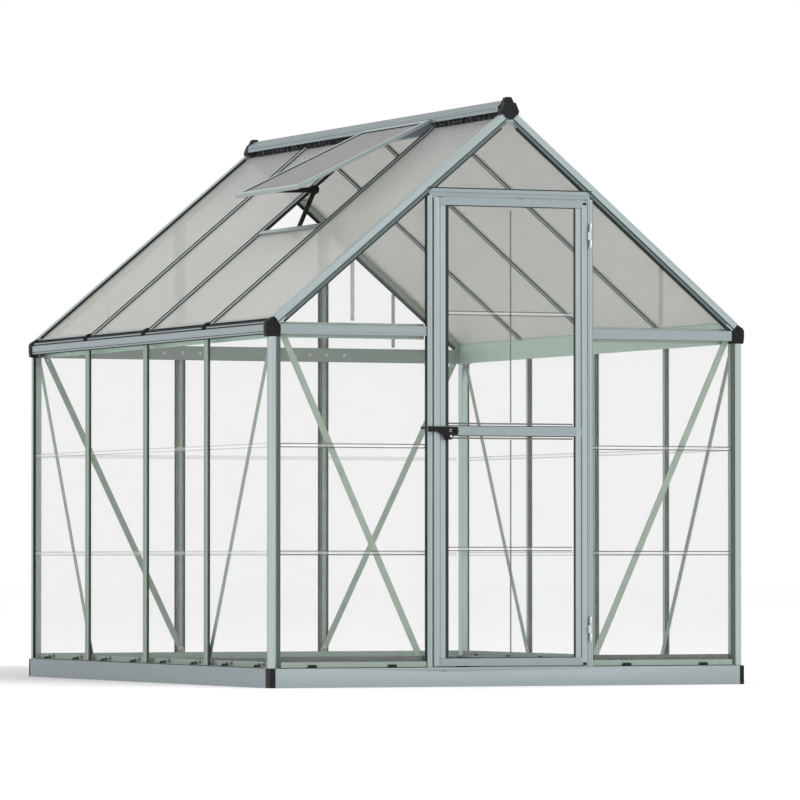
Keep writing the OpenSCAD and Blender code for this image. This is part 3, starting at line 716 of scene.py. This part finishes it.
# %% Doubled strips on the gables
SEAM_X, SEAM_HALF = 603, 7.5
bm = bmesh.new()
seam_top = slope_point(1, (SEAM_X + 34 * math.sin(SLOPE)) / math.cos(SLOPE), -34)[1] - 8
for side in (-1, 1):
    for plane, way in ((span("gable_panels")[1], -1), (span("gable_panels")[4], 1)):
        slab(bm, (SEAM_X - SEAM_HALF, SEAM_X + SEAM_HALF),
             (plane + way * 0.1, plane + way * 0.9), (1290, seam_top), side)
make_piece("gable_seam_strips", bm, seam_plastic)

# %% [markdown]
# ## The roof sheets
# A twin-wall sheet is the one large part that is made by a rule: two skins and a row of webs. The
# third tree builds it lying flat from its length, width, thickness and the spacing of its flutes,
# and then turns it onto its slope. Real flutes are about 6 mm apart, too fine to show, so they are
# drawn 24 mm apart.

# %% The tree that builds a twin-wall sheet
tree, given = new_tree(
    "twin_wall_sheet",
    "Length: Float, Width: Float, Thickness: Float, Skin: Float, Flute spacing: Float, "
    "Web: Float, Turn: Float, Place: Vector, Skin finish: Material, Web finish: Material")
lift = compute(tree, "MULTIPLY", compute(tree, "SUBTRACT", given["Thickness"], given["Skin"]), 0.5)
skin = add_node(tree, "GeometryNodeMeshCube", {
    "Size": vector(tree, given["Length"], given["Width"], given["Skin"])})
skins = joined(tree, [add_node(tree, "GeometryNodeTransform", {
    "Geometry": skin, "Translation": vector(tree, z=compute(tree, "MULTIPLY", lift, way))})
    for way in (1, -1)])
inner = compute(tree, "SUBTRACT", given["Thickness"], compute(tree, "MULTIPLY", given["Skin"], 2.0))
run = compute(tree, "SUBTRACT", given["Width"], given["Web"])
gaps = compute(tree, "ROUND", compute(tree, "DIVIDE", run, given["Flute spacing"]), 0.0)
places = add_node(tree, "GeometryNodeMeshLine", {
    "mode": "OFFSET", "Count": compute(tree, "ADD", gaps, 1.0),
    "Start Location": vector(tree, y=compute(tree, "MULTIPLY", run, -0.5)),
    "Offset": vector(tree, y=compute(tree, "DIVIDE", run, gaps))})
web = add_node(tree, "GeometryNodeMeshCube", {
    "Size": vector(tree, given["Length"], given["Web"], inner)})
webs = made_real(tree, places, web)
whole = joined(tree, (painted(tree, skins, given["Skin finish"]),
                            painted(tree, webs, given["Web finish"])))
leant = add_node(tree, "GeometryNodeTransform", {
    "Geometry": whole, "Translation": given["Place"],
    "Rotation": add_node(tree, "FunctionNodeEulerToRotation", {
        "Euler": vector(tree, y=given["Turn"])})})
sheet_tree = end_tree(tree, leant)

# %% [markdown]
# The right slope has four sheets. The left slope has three, and a short one below the roof vent.
# The vent's own sheet lies in its sash at the angle it is propped to.

# %% Roof and vent sheets
SHEET, SKIN, FLUTE, WEB = 4.0, 0.7, 24, 5
SHEET_TOP, SHEET_LOW, SILL_LOW = 27.1, 1181.0, 626.0  # distances down the slope
LAP = 3.2  # from a bar's middle to the sheet beside it
VENT_TILT = math.radians(25.8)


def twin_wall(name, length, width, turn, place, replaces, finish):
    grow(name, sheet_tree, {
        "Length": length * MM, "Width": width * MM, "Thickness": SHEET * MM, "Skin": SKIN * MM,
        "Flute spacing": FLUTE * MM, "Web": WEB * MM, "Turn": turn,
        "Place": [v * MM for v in place], "Skin finish": finish, "Web finish": twin_web},
        replaces=replaces)


bays = [(-WALL_Y, -BAY - LAP), (-BAY + LAP, -LAP), (LAP, BAY - LAP), (BAY + LAP, WALL_Y)]
for side, label in SIDES:
    for number, (y0, y1) in enumerate(bays, 1):
        top = SILL_LOW if side < 0 and number == 2 else SHEET_TOP
        x, z = slope_point(side, (top + SHEET_LOW) / 2, -12)
        twin_wall(f"roof_sheet_{label}_{number}", SHEET_LOW - top, y1 - y0, side * SLOPE,
                  (x, (y0 + y1) / 2, z), ["roof_panels_" + label] if number == 1 else (),
                  slope_skin if side < 0 else twin_skin)

low, high = span("vent_panel")[:3], span("vent_panel")[3:]
vent_length = (high[0] - low[0] - SHEET * math.sin(VENT_TILT)) / math.cos(VENT_TILT)
twin_wall("vent_sheet", vent_length, high[1] - low[1], -VENT_TILT,
          [(a + b) / 2 for a, b in zip(low, high)], ["vent_panel"], vent_skin)

# %% [markdown]
# ## Rafters and roof bars
# The gable rafters carry the sheets' outer edges. Under their bright outer face runs a groove with
# a black seal, and the gable sheet's edge has its own seal below. Beside the groove the face turns
# away from the light, so it gets a thin darker strip. The roof bars repeat the wall bars on the
# slope.

# %% Rafters and their strips
# the rafters' faces inside the sheets take darker greener greys: painted shade
both_slopes = (alu_green_painted_shade, alu_slope_left, alu_slope_right)
dress("rafters_front rafters_rear", both_slopes)

seals, shades = bmesh.new(), bmesh.new()
strips = ((seals, rect(26.2, 33.2, -26.2, -22.6), 30, 1178),
          (seals, rect(17.2, 25, -43, -34.1), 70, 1160),
          (seals, rect(-3.4, -0.2, -9.8, -1.2), 60, 1168),
          (shades, rect(31.1, 31.6, -36.5, -26.6), 46, 1150))
for side in (-1, 1):
    for way in (-1, 1):
        for bm, outline, start, end in strips:
            outline = [(way * (WALL_Y + p), q) for p, q in outline]
            prism(bm, outline, down_slope(side), start, end)
make_piece("rafter_seals", seals, dark_seal_and_shade)
make_piece("rafter_shaded_faces", shades, groove_shade)

# %% Roof bars and their seals
# across the bar from, to; below the slope from, to; and how much shorter than the bar
ROOF_BAR = ((-11, 11, -10, -5.4, 0), (-3, 3, -14.2, -10, 0), (-8, 8, -16.6, -14.2, 0))
# seal strips that also hold the bars' painted shadow on the sheets; the far upper one stands proud
# for it
ROOF_SEAL_SHADOWS = ((-14.4, -11.1, -9.8, -6.4, 4), (11.1, 14.4, -9.8, -2.8, 4),
              (-15, -8.2, -17.5, -14.2, 30), (8.2, 15, -17.5, -14.2, 30))
for (side, label), finish in zip(SIDES, both_slopes[1:]):
    bars, seals = bmesh.new(), bmesh.new()
    for bm, start, strips in ((bars, 12, ROOF_BAR), (seals, 24, ROOF_SEAL_SHADOWS)):
        for near, far, low, high, short in strips:
            prism(bm, rect(-BAY + near, -BAY + far, low, high), down_slope(side),
                  SHEET_TOP + start, SHEET_LOW - short)
    repeat("roof_bars_finish_" + label, bars, 3, (0, BAY, 0), finish, 1.2,
           None, ["roof_bars_" + label])
    repeat("roof_bar_seal_shadows_" + label, seals, 3, (0, BAY, 0), dark_seal_and_shade)

# %% [markdown]
# Under the sheets' low ends two dark strips, with a bright line between them, close the joint with
# the gutter: seals, with painted shade in the gap. They stop at each bar's foot. The gutter's face
# has a dark fold line and a dark underside: painted shade.

# %% Eave strips and gutter lines
strips, lines = bmesh.new(), bmesh.new()
edge = span("gutter_right")[3]
for side in (-1, 1):
    for bm, x, z0, z1 in ((lines, 925, 1282.8, 1287), (strips, 926, 1278.6, 1282.6),
                          (lines, 927, 1274.2, 1278.4)):
        for y0, y1 in bays:
            slab(bm, (x - 14, x), (y0 + 12, y1 - 12), (z0, z1), side)
    # a dark fold line and a dark underside on the gutter's face: painted shade
    for x, z0, z1 in ((edge + 0.4, 1247.6, 1249.4), (edge - 2.4, 1238.8, 1241.8)):
        slab(lines, (x - 14, x), (-WALL_Y + 2, WALL_Y - 2), (z0, z1), side)
make_piece("eave_strips", strips, alu_length)
make_piece("eave_seal_shades", lines, dark_seal_and_shade)

# %% [markdown]
# ## The ridge
# The ridge profile covers the sheets' top edges. Fine grooves run along it from the die; they are
# drawn as thin dark strips, painted shade in the grooves, and one more dark strip is painted as
# shade under the cover's lip. A strip of black bristles closes the gap under its lips, which lets
# the sheets move and keeps insects out.
# The fourth tree sets a tuft at each step and leans each a little differently, from a fixed seed so
# that it comes out the same each time.

# %% Ridge cover and its grooves
dress("ridge_beam", alu_ridge)

grooves = bmesh.new()
dx, dz = 26 / 34.06, -22 / 34.06  # one millimetre down the cover's sloping face
for side in (-1, 1):
    # dark strips as the grooves: painted shade in them
    for t0, t1 in ((3, 5.2), (15, 17.4), (29, 31.4)):
        line = [(side * (6 + dx * t - dz * n), APEX + RIDGE_RISE + dz * t + dx * n)
                for t, n in rect(t0, t1, 0.0, 0.35)]
        prism(grooves, line, lengthwise, -WALL_Y + 6, WALL_Y - 6)
    # painted shade under the cover's lip
    slab(grooves, (32, 32.4), (-WALL_Y + 6, WALL_Y - 6), (APEX - 4, APEX - 1.6), side)
make_piece("ridge_groove_painted_shade", grooves, groove_shade)

# %% The tree that sets a strip of bristles
tree, given = new_tree(
    "bristle_strip",
    "Start: Vector, Step: Vector, Count: Int, Length: Float, Width: Float, Lean: Float, "
    "Seed: Int, Finish: Material")
row = add_node(tree, "GeometryNodeMeshLine", {
    "mode": "OFFSET", "Count": given["Count"], "Start Location": given["Start"],
    "Offset": given["Step"]})
tuft = add_node(tree, "GeometryNodeMeshCone", {
    "Vertices": 5, "Radius Top": compute(tree, "MULTIPLY", given["Width"], 0.5),
    "Radius Bottom": compute(tree, "MULTIPLY", given["Width"], 0.3),
    "Depth": given["Length"]})
back = compute(tree, "MULTIPLY", given["Lean"], -1.0)
lean = add_node(tree, "FunctionNodeRandomValue", {
    "data_type": "FLOAT_VECTOR", 0: vector(tree, back, back),
    1: vector(tree, given["Lean"], given["Lean"]), 8: given["Seed"]})
tilt = add_node(tree, "FunctionNodeEulerToRotation", {"Euler": lean})
bristle_tree = end_tree(tree, painted(tree, made_real(tree, row, tuft, tilt), given["Finish"]))

# %% Bristle strips, broken where the vent is
TUFT_STEP, TUFT_WIDE = 9, 5.6
lip = span("ridge_beam")[3] - 3
foot_z = slope_point(1, (lip + 10 * math.sin(SLOPE)) / math.cos(SLOPE), -10)[1]
runs = (("right", 1, -WALL_Y + 12, WALL_Y - 12), ("left_rear", -1, 8, WALL_Y - 12),
        ("left_front", -1, -WALL_Y + 12, -BAY - 6))
for seed, (label, side, y0, y1) in enumerate(runs, 1):
    grow("bristles_" + label, bristle_tree, {
        "Start": (side * lip * MM, y0 * MM, foot_z * MM), "Step": (0, TUFT_STEP * MM, 0),
        "Count": int((y1 - y0) / TUFT_STEP), "Length": (APEX - 15 - foot_z) * MM,
        "Width": TUFT_WIDE * MM, "Lean": 0.42, "Seed": seed, "Finish": black_nylon})

# %% [markdown]
# ## Moulded caps
# The ends of the ridge and of the gutters, and the feet of the roof bars, are black mouldings, with
# a generous radius, so that the mould lets go of them, and thin ribs that stiffen them.

# %% Ridge caps, eave caps and bar feet
dress("ridge_caps", black_nylon, 3.0, 3)
dress("eave_caps", black_nylon, 2.6, 2)
dress("roof_bar_feet", black_nylon, 2.0, 2)

bm = bmesh.new()
cap_y, eave_y = span("ridge_caps")[4], span("eave_caps")[4]
rib = [(0.0, APEX + 4), (25, APEX - 17), (25, APEX - 21), (0.0, APEX)]
for way in (-1, 1):
    for side in (-1, 1):
        prism(bm, [(side * x, z) for x, z in rib], lengthwise,
              *sorted((way * (cap_y - 0.2), way * (cap_y + 1.2))))
    for side in (-1, 1):
        for x, top in ((888, 1278), (900, 1292), (912, 1292), (924, 1278)):
            slab(bm, (x, x + 3), (way * (eave_y - 0.2), way * (eave_y + 1.8)), (1236, top), side)
make_piece("cap_ribs", bm, black_nylon, radius=0.4)

foot = [(908, 1265.8), (928.6, 1266), (930.6, 1274), (930.6, 1284), (920.4, 1297), (908, 1302.6)]
for side, label in SIDES:
    bm = bmesh.new()
    for off in (-13, -4.5, 4, 12):
        prism(bm, [(side * x, z) for x, z in foot], lengthwise, -BAY + off, -BAY + off + 3)
    repeat("foot_ribs_" + label, bm, 3, (0, BAY, 0), black_nylon, 0.4)

# %% [markdown]
# ## The roof vent
# The sash is a frame of the same anodised profile, hinged under the ridge cover and propped open by
# a moulded stay with an elbow. A dark strip lies between its rails and its sheet: a seal, and the
# painted shadow line along the rails' inner edges.

# %% Sash, sill, stay and seals
alu_vent = anodised("vent", "x", turn=VENT_TILT)
dress("vent_sill", alu_length)
dress("vent_stay", black_acetal, 1.5, 2)

HINGE_X, HINGE_Z, HINGE_RADIUS = -37.0, APEX - 10, 5
LONG, RAIL, UNDER, OVER = 587.0, 24.0, -8.0, 6.0  # the sash's length, rails and depth
SEAL_LOW, SEAL_HIGH = 2.1, 4.6


def on_sash(u, w, y):
    return (HINGE_X - u * math.cos(VENT_TILT) - w * math.sin(VENT_TILT), y,
            HINGE_Z - u * math.sin(VENT_TILT) + w * math.cos(VENT_TILT))


front, rear = span("vent_sash")[1], span("vent_sash")[4]
bm = bmesh.new()
for y0, y1, runs in ((front, front + RAIL, [(0, LONG)]), (rear - RAIL, rear, [(0, LONG)]),
                     (front + RAIL, rear - RAIL, [(0, RAIL), (LONG - RAIL, LONG)])):
    for u0, u1 in runs:
        prism(bm, rect(u0, u1, UNDER, OVER), on_sash, y0, y1)
angles = [math.radians(a) for a in range(0, 360, 30)]
hinge = [(HINGE_RADIUS * math.cos(a), HINGE_RADIUS * math.sin(a)) for a in angles]
prism(bm, hinge, on_sash, front, rear)
make_piece("vent_sash_finish", bm, alu_vent, "house", 1.0, 2, ["vent_sash"])

bm = bmesh.new()
# dark strips: the seal and the painted shadow line along the rails' inner edges
for y0, y1 in ((front + 24.2, front + 27.6), (rear - 27.6, rear - 24.2)):
    prism(bm, rect(24.2, 562.8, SEAL_LOW, SEAL_HIGH), on_sash, y0, y1)
for u in (24.2, 559.6):
    prism(bm, rect(u, u + 3.2, SEAL_LOW, SEAL_HIGH), on_sash, front + 28, rear - 28)
make_piece("vent_seal_shadows", bm, dark_seal_and_shade)
pin_y = span("vent_stay")[1] + 4
fasteners("stay_pins", [((x, pin_y, z), (0, -1, 0)) for x, z in ((-370, 1808), (-448, 1634))],
          black_acetal, 5, 2.5)

# %% [markdown]
# ## The door frame and the door
# The jambs and the header are stepped extrusions, and so are the leaf's stiles, which have a
# shallow groove between two faces. Less light finds its way into a groove, so it gets a strip of
# the shaded finish. The panes sit in rubber.

# %% Jambs, header and their seals
# the jambs' and header's faces inside the sheets take greener greys: painted light
dress("door_posts", (alu_green_painted_light, alu_upright), 0.7)
dress("door_header", (alu_green_painted_light, alu_cross))

bm = bmesh.new()
head = span("door_header")
seal_back = -WALL_Y - 17.3
# dark strips on the jambs' sides and along the header: seals, with painted shade on the sides and
# in the gaps
for side in (-1, 1):
    slab(bm, (JAMB_OUT + 0.2, JAMB_OUT + 2.2), (-WALL_Y - 36, seal_back),
         (BASE_TOP + 4, head[2]), side)
slab(bm, (-JAMB_OUT, JAMB_OUT), (-WALL_Y - 34, seal_back), (head[5] + 0.1, head[5] + 4))
slab(bm, (head[0] + 4, head[3] - 4), (head[1] + 4, head[1] + 4.6), (head[2] + 9.2, head[2] + 14.8))
make_piece("door_frame_seal_shades", bm, dark_seal_and_shade)

# %% [markdown]
# The door's middle rail is cut to fit between the stiles, so in the dressed copy its ends are moved
# back to the stiles' inner edges.

# %% Leaf, panes and pane seals
dress("door_stiles", alu_door, 0.7)
STILE = span("door_stiles")[3]  # outer edge of the leaf
STILE_IN = STILE - 45.2  # inner edge of the stiles
FACE = span("door_stiles")[1]  # outer face of the stiles
PANE = span("door_panels")[1]  # outer face of the panes
PANE_RUNS = ((100.0, 889.0), (922.0, 1705.0))
bm = merged_copy("door_rails")
for vert in bm.verts:
    if 880 * MM < vert.co.z < 940 * MM and abs(vert.co.x) > (STILE - 45) * MM:
        vert.co.x = math.copysign(STILE_IN * MM, vert.co.x)
bmesh.ops.remove_doubles(bm, verts=bm.verts, dist=1e-6)
make_piece("door_rails_finish", bm, alu_cross, "door", 0.8, 1, ["door_rails"])

seals, grooves = bmesh.new(), bmesh.new()
depth = (PANE - 2.6, PANE - 0.1)
for z0, z1 in PANE_RUNS:
    slab(seals, (-STILE_IN, -STILE + 57), depth, (z0 + 0.3, z1 - 0.3))
    slab(seals, (STILE - 52, STILE_IN), depth, (z0 + 0.3, z1 - 0.3))
    for z in (z0 + 0.3, z1 - 2.7):
        slab(seals, (-STILE + 57.2, STILE - 52.2), depth, (z, z + 2.4))
for side in (-1, 1):
    for run in PANE_RUNS:
        slab(grooves, (STILE - 24.6, STILE - 22.1), (FACE + 2.2, FACE + 3.1), run, side)
make_piece("pane_seals", seals, dark_seal_and_shade, body="door")
make_piece("stile_grooves", grooves, groove_shade, body="door")

edges, crests = bmesh.new(), bmesh.new()
depth = (PANE - PROUD, PANE - 0.1)
ribs_across(edges, crests, (-STILE + 58, STILE - 58), depth, (487.0, 1323.0))
for z0, z1 in PANE_RUNS:
    slab(edges, (-2.6, 2.6), depth, (z0 + 14, z1 - 14))
for z in (876.5, 928.5):
    slab(edges, (-STILE + 58, STILE - 56), depth, (z, z + 6))
make_piece("door_rib_edges", edges, rib_edge, body="door")
make_piece("door_rib_crests", crests, rib_crest, body="door")

# %% [markdown]
# ## Hinges and the latch
# The hinges are zinc-plated steel knuckles on pins. The latch is a moulded lever that turns on a
# screw over a plate, and passes in front of a keeper on the jamb. The lever's face is set back by a
# millimetre, so that its screw sits in it as in a counterbore. A small boss on the lever turns with
# it, and two pads protect the door's corners.

# %% Hinges, latch and keeper
dress("jamb_hinges leaf_hinges", zinc_plate, 0.6)
dress("latch_plate", black_acetal, 1.0, 2)
dress("latch_keeper", black_nylon, 1.2, 2)

lever_face = span("latch_lever")[1]
bm = merged_copy("latch_lever")
for vert in bm.verts:
    if vert.co.y < (lever_face + 0.5) * MM:
        vert.co.y += 1.2 * MM
make_piece("latch_lever_finish", bm, black_acetal, "lever", 0.9, 2, ["latch_lever"])

pivot = [joint["pos_m"] for joint in behaviour["joints"] if joint["name"] == "latch_turn"][0]
x, y, z = pivot[0] / MM, lever_face + 1.25, pivot[2] / MM
for name, body, profile, centre, steps in (
        ("latch_screw", "door", [(0, 0), (5.2, 0), (5.2, 0.6), (4.2, 1.15), (0, 1.15)],
         (x, y, z), 20),
        ("latch_boss", "lever", [(0, 0), (4.4, 0), (4.4, 0.6), (3.0, 1.1), (0, 1.1)],
         (x + 2, y, z - 21), 16)):
    bm = bmesh.new()
    lathe(bm, profile, centre, steps)
    make_piece(name, bm, zinc_plate, body)

pads = bmesh.new()
for z in (1716.0, 74.0):
    slab(pads, (STILE - 18, STILE - 4), (FACE - 1.6, FACE - 0.1), (z, z + 9))
make_piece("door_corner_pads", pads, black_nylon, "door", 0.4)

# %% [markdown]
# ## Studio
# A pale floor and a white sky give the soft, even light of a studio. One broad lamp in front and to
# the right of the house lifts the floor to white, and a second on the left picks out the rounded
# edges. A white floor under a white sky keeps almost no shadow, so a faint grey shade is painted on
# it, to the left of the house and behind it, and fades out on every side.

# %% Floor with its shade
floor_mesh = bpy.data.meshes.new("floor")
floor_mesh.from_pydata([(x, y, 0) for x, y in rect(-80, 80, -80, 80)], [], [(0, 1, 2, 3)])
floor = placed("floor", floor_mesh)
floor_paint, tree, shader, coords = start_finish("studio_floor_paint", {"Roughness": 0.9})
mottle = add_node(tree, "ShaderNodeTexNoise", {"Scale": 0.8, "Detail": 2.0, "Vector": coords})
vary(tree, shader, mottle, "#FDFDFD", "#FFFFFF")
paint = shader.inputs["Base Color"].links[0].from_socket
parted = add_node(tree, "ShaderNodeSeparateXYZ", {0: coords})
shade = 1.0
for axis, start, end in (("X", -1.9, -0.7), ("X", 1.1, 0.2), ("Y", -1.3, 0.8), ("Y", 4.4, 2.8)):
    fade = add_node(tree, "ShaderNodeMapRange", {
        "interpolation_type": "SMOOTHSTEP", "From Min": start, "From Max": end,
        "Value": parted.outputs[axis]})
    shade = compute(tree, "MULTIPLY", shade, fade)
shaded = add_node(tree, "ShaderNodeMix", {
    "data_type": "RGBA", 0: shade, 6: paint, 7: linear("#D9D8DB")})
tree.links.new(shaded.outputs[2], shader.inputs["Base Color"])
floor_mesh.materials.append(floor_paint)

# %% Sky, lamps and camera
sky = bpy.data.worlds.new("studio_sky")
scene.world = sky
sky.use_nodes = True
sky.node_tree.nodes["Background"].inputs["Color"].default_value = (1, 1, 1, 1)


def lamp(name, place, aim, size, power):
    light = bpy.data.lights.new(name, "AREA")
    light.shape, light.size, light.energy = "SQUARE", size, power
    holder = placed(name, light)
    holder.location = place
    holder.rotation_euler = (Vector(aim) - Vector(place)).to_track_quat("-Z", "Y").to_euler()


lamp("key_lamp", (7.5, -9.0, 9.0), (0, 0, 0.8), 6.0, 560)
lamp("edge_lamp", (-8.0, -4.5, 3.0), (-0.9, -0.6, 1.0), 3.0, 70)

camera = bpy.data.cameras.new("camera")
camera.sensor_width, camera.lens, camera.clip_end = 36, 274.6, 300
viewer = placed("camera", camera)
viewer.location = (-8.98, -20.97, 0.44)
viewer.rotation_euler = Euler((math.radians(91.523), 0, math.radians(-23.42)))
scene.camera = viewer
scene.view_settings.view_transform = "Standard"
scene.cycles.transparent_max_bounces = 48
